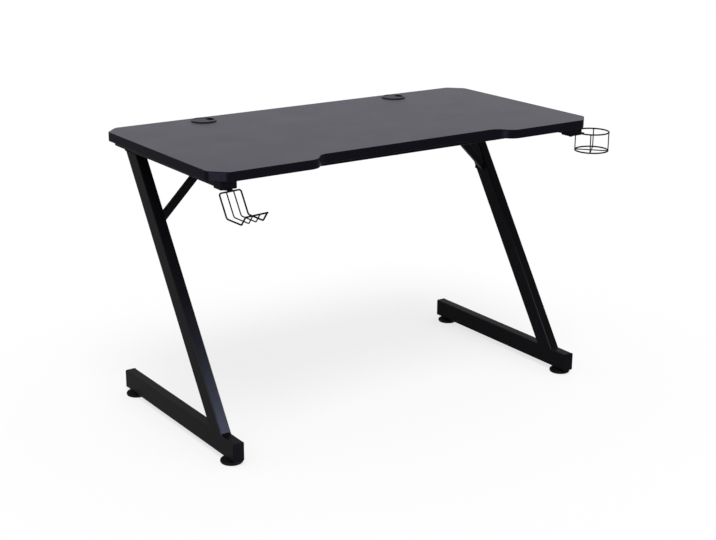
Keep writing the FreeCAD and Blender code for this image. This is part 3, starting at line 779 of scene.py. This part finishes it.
class DESK_OT_welds(Operator):
    """Lays rippled weld beads on the side frames and on the welded plates"""
    bl_idname = "desk.welds"
    bl_label = "Weld beads"

    def execute(self, context):
        colours, sizes = context.scene.desk_colours, context.scene.desk_sizes
        coat = coat_finish("weld_powder_coat", colours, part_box("left_floor_bar")[1].z)
        for side in SIDES:
            node = side + "_weld_beads"
            mesh = bmesh.new()
            for seed, solid in enumerate(solids_of(node)):
                weld_bead(mesh, *corner_of_bead(solid.points), sizes, seed)
            piece = piece_from(
                mesh, side + "_rippled_welds", coat, MAIN_BODY, BEAD_CREASE)
            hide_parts(node)
        mesh = bmesh.new()
        self.beam_beads(mesh, sizes)
        self.brace_beads(mesh, sizes)
        piece_from(mesh, "plate_welds", coat, MAIN_BODY, BEAD_CREASE)
        return {"FINISHED"}

    def beam_beads(self, mesh, sizes):
        """Beads beside the crossbeams, on the inner faces of their end plates."""
        seed = BEAM_SEED
        for beam in CROSSBEAMS:
            low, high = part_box(beam)
            middle_y = (low.y + high.y) / 2
            base_z = low.z + sizes.tube_corner
            run = Vector((0, 0, high.z - low.z - 2 * sizes.tube_corner))
            for face_x, inward in ((low.x + sizes.beam_plate, 1), (high.x - sizes.beam_plate, -1)):
                for outward in (-1, 1):
                    start = Vector((face_x, middle_y + outward * sizes.beam_width / 2, base_z))
                    weld_bead(mesh, start, run, Vector((0, outward, 0)), Vector((inward, 0, 0)),
                              sizes.plate_weld, sizes, seed)
                    seed += 1

    def brace_beads(self, mesh, sizes):
        """Beads across the braces, where they meet their plates at 45 degrees."""
        seed = BRACE_SEED
        size = sizes.plate_weld
        half_print = sizes.brace_width / math.sqrt(2)
        bolts = [Fastener(solid.points) for solid in solids_of("brace_bolts")]
        middle_x = sum(bolt.seat.x for bolt in bolts) / len(bolts)
        run = Vector((0, sizes.brace_depth - 2 * sizes.tube_corner, 0))
        for side in (-1, 1):
            own = [bolt for bolt in bolts if (bolt.seat.x - middle_x) * side > 0]
            foot = next(bolt for bolt in own if abs(bolt.way.x) > MOSTLY).seat
            top = next(bolt for bolt in own if abs(bolt.way.z) > MOSTLY).seat
            near_y = top.y - run.y / 2
            climb = Vector((-side, 0, 1)).normalized()
            top_x = foot.x - side * (top.z - foot.z)
            for way in (-1, 1):
                start = Vector((foot.x, near_y, foot.z + way * half_print))
                weld_bead(mesh, start, run, Vector((0, 0, way)), climb, size, sizes, seed)
                start = Vector((top_x + way * half_print, near_y, top.z))
                weld_bead(mesh, start, run, Vector((way, 0, 0)), -climb, size, sizes, seed + 1)
                seed += 2


class DESK_OT_plastics(Operator):
    """Gives the end caps, plugs, shoes and foot pads their moulded grain"""
    bl_idname = "desk.plastics"
    bl_label = "Moulded ends and pads"

    def execute(self, context):
        colours = context.scene.desk_colours
        cap = moulded_finish(
            "cap_moulding", colours.cap, pit_scale=1500, dullness=0.52, gloss=0.03)
        pad = moulded_finish(
            "pad_moulding", colours.pad, pit_scale=1100, dullness=0.56, gloss=0.05)
        dress(cap, *END_CAPS)
        dress(pad, *(name + "_pad" for name in CORNERS))
        return {"FINISHED"}


class DESK_OT_feet(Operator):
    """Cuts the threads of the four foot studs and plates the nuts"""
    bl_idname = "desk.feet"
    bl_label = "Foot studs"

    def execute(self, context):
        pitch = context.scene.desk_sizes.foot_pitch
        depth = THREAD_DEPTH * pitch
        angles = turn_angles()
        zinc = plated_finish(context.scene.desk_colours)
        for name in CORNERS:
            low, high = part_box(name + "_stud")
            middle = (low + high) / 2
            radius = (high.x - low.x) / 2
            rings = thread_rings(radius, depth, pitch, low.z - high.z, 0.0, angles)
            rings[-1] = ring(radius - depth, 0.0, angles)
            place = Matrix.Translation(Vector((middle.x, middle.y, high.z)))
            mesh = bmesh.new()
            skin(mesh, moved(rings, place))
            piece = piece_from(mesh, name + "_thread", zinc, name + "_foot")
            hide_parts(name + "_stud")
            dress(zinc, name + "_foot_nut")
        return {"FINISHED"}


class DESK_OT_fasteners(Operator):
    """Makes the bolts with hexagon sockets and the board screws with cross recesses"""
    bl_idname = "desk.fasteners"
    bl_label = "Bolts and screws"

    def execute(self, context):
        sizes = context.scene.desk_sizes
        blacked = blacked_finish(context.scene.desk_colours)
        kinds = (
            ("beam_bolts", "beam_button_bolts", button_bolt),
            ("brace_bolts", "brace_button_bolts", button_bolt),
            ("tab_bolts", "tab_button_bolts", button_bolt),
            ("desktop_screws", "desktop_pan_screws", pan_screw),
        )
        for node, name, maker in kinds:
            mesh = bmesh.new()
            for solid in solids_of(node):
                maker(mesh, Fastener(solid.points), sizes)
            piece = piece_from(mesh, name, blacked, MAIN_BODY)
            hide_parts(node)
        dress(blacked, "weld_nuts")
        return {"FINISHED"}


class DESK_OT_grommets(Operator):
    """Finishes the sleeves and lids of the cable grommets"""
    bl_idname = "desk.grommets"
    bl_label = "Cable grommets"

    def execute(self, context):
        colours = context.scene.desk_colours
        sleeve = moulded_finish(
            "grommet_sleeve", colours.rim, pit_scale=1400, dullness=0.36, gloss=0.14)
        lid = moulded_finish(
            "grommet_lid", colours.lid, pit_scale=1400, dullness=0.44, gloss=0.07)
        for side in SIDES:
            dress(sleeve, side + "_grommet_ring")
            dress(lid, side + "_grommet_cap")
        return {"FINISHED"}


class DESK_OT_wires(Operator):
    """Coats the cup holder and the hook, and adds the welds where their wires meet"""
    bl_idname = "desk.wires"
    bl_label = "Cup holder and hook"

    def execute(self, context):
        sizes = context.scene.desk_sizes
        coat = wire_finish(context.scene.desk_colours)
        dress(coat, *WIRES, *WIRE_TABS)
        mesh = bmesh.new()
        for place in self.meetings(sizes.nugget):
            self.nugget(mesh, place, sizes.nugget)
        piece_from(mesh, "wire_welds", coat, MAIN_BODY, BEAD_CREASE)
        return {"FINISHED"}

    def meetings(self, radius):
        """Places where a wire meets another wire or a tab."""
        touch, apart = radius / 2, 5 * radius
        trees = {}
        for node in WIRES + WIRE_TABS:
            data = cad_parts[node].data
            trees[node] = BVHTree.FromPolygons(
                [vert.co for vert in data.vertices], [face.vertices for face in data.polygons])
        near = []
        for node in WIRES:
            others = [tree for name, tree in trees.items() if name != node]
            for start, end in (edge for solid in solids_of(node) for edge in solid.edges):
                steps = max(1, math.ceil((end - start).length / touch))
                for step in range(steps + 1):
                    point = start.lerp(end, step / steps)
                    for tree in others:
                        found = tree.find_nearest(point, touch)[0]
                        if found is not None:
                            near.append((point + found) / 2)
        groups = []
        for point in sorted(near, key=tuple):
            for group in groups:
                if (group[0] - point).length < apart:
                    group.append(point)
                    break
            else:
                groups.append([point])
        return [sum(group, Vector()) / len(group) for group in groups]

    def nugget(self, mesh, place, radius):
        """Small lump of weld."""
        unevenness, lump_scale, place_scale = 0.22, 520, 900
        made = bmesh.ops.create_icosphere(mesh, subdivisions=3, radius=radius)
        for vert in made["verts"]:
            lump = noise.noise(vert.co * lump_scale + place * place_scale)
            vert.co = place + vert.co * (1 + unevenness * lump)


class DESK_OT_stage(Operator):
    """Sets up the floor, the light and the camera"""
    bl_idname = "desk.stage"
    bl_label = "Stage"

    def execute(self, context):
        stage = context.scene.desk_stage
        self.floor(context, stage)
        self.light(context, stage)
        self.camera(context, stage)
        context.scene.view_settings.view_transform = "Standard"
        return {"FINISHED"}

    def seen(self, nodes):
        """1 where the camera looks, directly, in a gloss or through something."""
        path = nodes.add("LightPath", output=None)
        camera, glossy, through = (
            Field(nodes.tree, path.outputs[name])
            for name in ("Is Camera Ray", "Is Glossy Ray", "Is Transmission Ray"))
        return (camera + glossy + through).least(1.0)

    def floor(self, context, stage):
        """Pale floor that keeps the desk's shadow."""
        mesh = bmesh.new()
        bmesh.ops.create_grid(mesh, x_segments=4, y_segments=4, size=stage.floor_size)
        data = bpy.data.meshes.new("studio_floor")
        mesh.to_mesh(data)
        mesh.free()
        material = bpy.data.materials.new("studio_floor")
        material.use_nodes = True
        nodes = Nodes(material.node_tree)
        paint = nodes.add("BsdfDiffuse", sockets={"Color": (*stage.floor, 1.0)})
        glow = nodes.add("Emission", sockets={"Color": WHITE, "Strength": 1.0})
        share_seen = self.seen(nodes) * (1 - stage.floor_shade)
        surface = nodes.add("MixShader", sockets={0: share_seen, 1: paint, 2: glow})
        nodes.add("OutputMaterial", sockets={"Surface": surface}, output=None)
        data.materials.append(material)
        floor = bpy.data.objects.new("studio_floor", data)
        context.scene.collection.objects.link(floor)

    def light(self, context, stage):
        """Even light all round, one soft key light and two panels."""
        world = bpy.data.worlds.new("studio")
        world.use_nodes = True
        nodes = Nodes(world.node_tree)
        level = stage.ambient + self.seen(nodes) * (1 - stage.ambient)
        sky = nodes.add("Background", sockets={"Color": WHITE, "Strength": level})
        nodes.add("OutputWorld", sockets={"Surface": sky}, output=None)
        context.scene.world = world
        data = bpy.data.lights.new("key_light", "SUN")
        data.energy = stage.key_strength
        data.angle = stage.key_angle
        lamp = bpy.data.objects.new("key_light", data)
        lamp.rotation_euler = Vector(stage.key_from).to_track_quat("Z", "Y").to_euler()
        context.scene.collection.objects.link(lamp)
        self.panel(
            context, stage, "front_panel", stage.front_panel, stage.front_aim, stage.front_size,
            stage.front_strength)
        self.panel(
            context, stage, "side_panel", stage.side_panel, stage.side_aim, stage.side_size,
            stage.side_strength)

    def panel(self, context, stage, name, place, aim, size, energy):
        """Panel with a grid, which shows only in gloss."""
        data = bpy.data.lights.new(name, "AREA")
        data.shape = "SQUARE"
        data.size = size
        data.energy = energy
        data.spread = stage.panel_spread
        data.color = stage.panel_colour
        lamp = bpy.data.objects.new(name, data)
        lamp.location = place
        lamp.rotation_euler = (Vector(place) - Vector(aim)).to_track_quat("Z", "Y").to_euler()
        lamp.visible_diffuse = False
        lamp.visible_camera = False
        context.scene.collection.objects.link(lamp)

    def camera(self, context, stage):
        """Camera at the viewing angle."""
        data = bpy.data.cameras.new("main_camera")
        data.sensor_width = SENSOR_WIDTH
        data.lens = stage.camera_lens
        camera = bpy.data.objects.new("main_camera", data)
        camera.location = stage.camera_place
        camera.rotation_euler = stage.camera_turn
        context.scene.collection.objects.link(camera)
        context.scene.camera = camera


PIECES = (
    DESK_OT_board, DESK_OT_tubes, DESK_OT_welds, DESK_OT_plastics, DESK_OT_feet,
    DESK_OT_fasteners, DESK_OT_grommets, DESK_OT_wires, DESK_OT_stage,
)


class VIEW3D_PT_desk(Panel):
    """Lists the desk's pieces and their properties"""
    bl_label = "Gaming desk"
    bl_space_type = "VIEW_3D"
    bl_region_type = "UI"
    bl_category = "Desk"

    def draw(self, context):
        scene = context.scene
        column = self.layout.column()
        for piece in PIECES:
            column.operator(piece.bl_idname)
        for group in (scene.desk_colours, scene.desk_sizes, scene.desk_stage):
            for name in group.__annotations__:
                column.prop(group, name)


CLASSES = (DeskColours, DeskSizes, DeskStage) + PIECES + (VIEW3D_PT_desk,)


def register():
    for made in CLASSES:
        bpy.utils.register_class(made)
    bpy.types.Scene.desk_colours = PointerProperty(type=DeskColours)
    bpy.types.Scene.desk_sizes = PointerProperty(type=DeskSizes)
    bpy.types.Scene.desk_stage = PointerProperty(type=DeskStage)


def unregister():
    del bpy.types.Scene.desk_stage
    del bpy.types.Scene.desk_sizes
    del bpy.types.Scene.desk_colours
    for made in reversed(CLASSES):
        bpy.utils.unregister_class(made)


def main():
    register()
    bpy.ops.desk.board()
    bpy.ops.desk.tubes()
    bpy.ops.desk.welds()
    bpy.ops.desk.plastics()
    bpy.ops.desk.feet()
    bpy.ops.desk.fasteners()
    bpy.ops.desk.grommets()
    bpy.ops.desk.wires()
    bpy.ops.desk.stage()


if __name__ == "__main__":
    main()
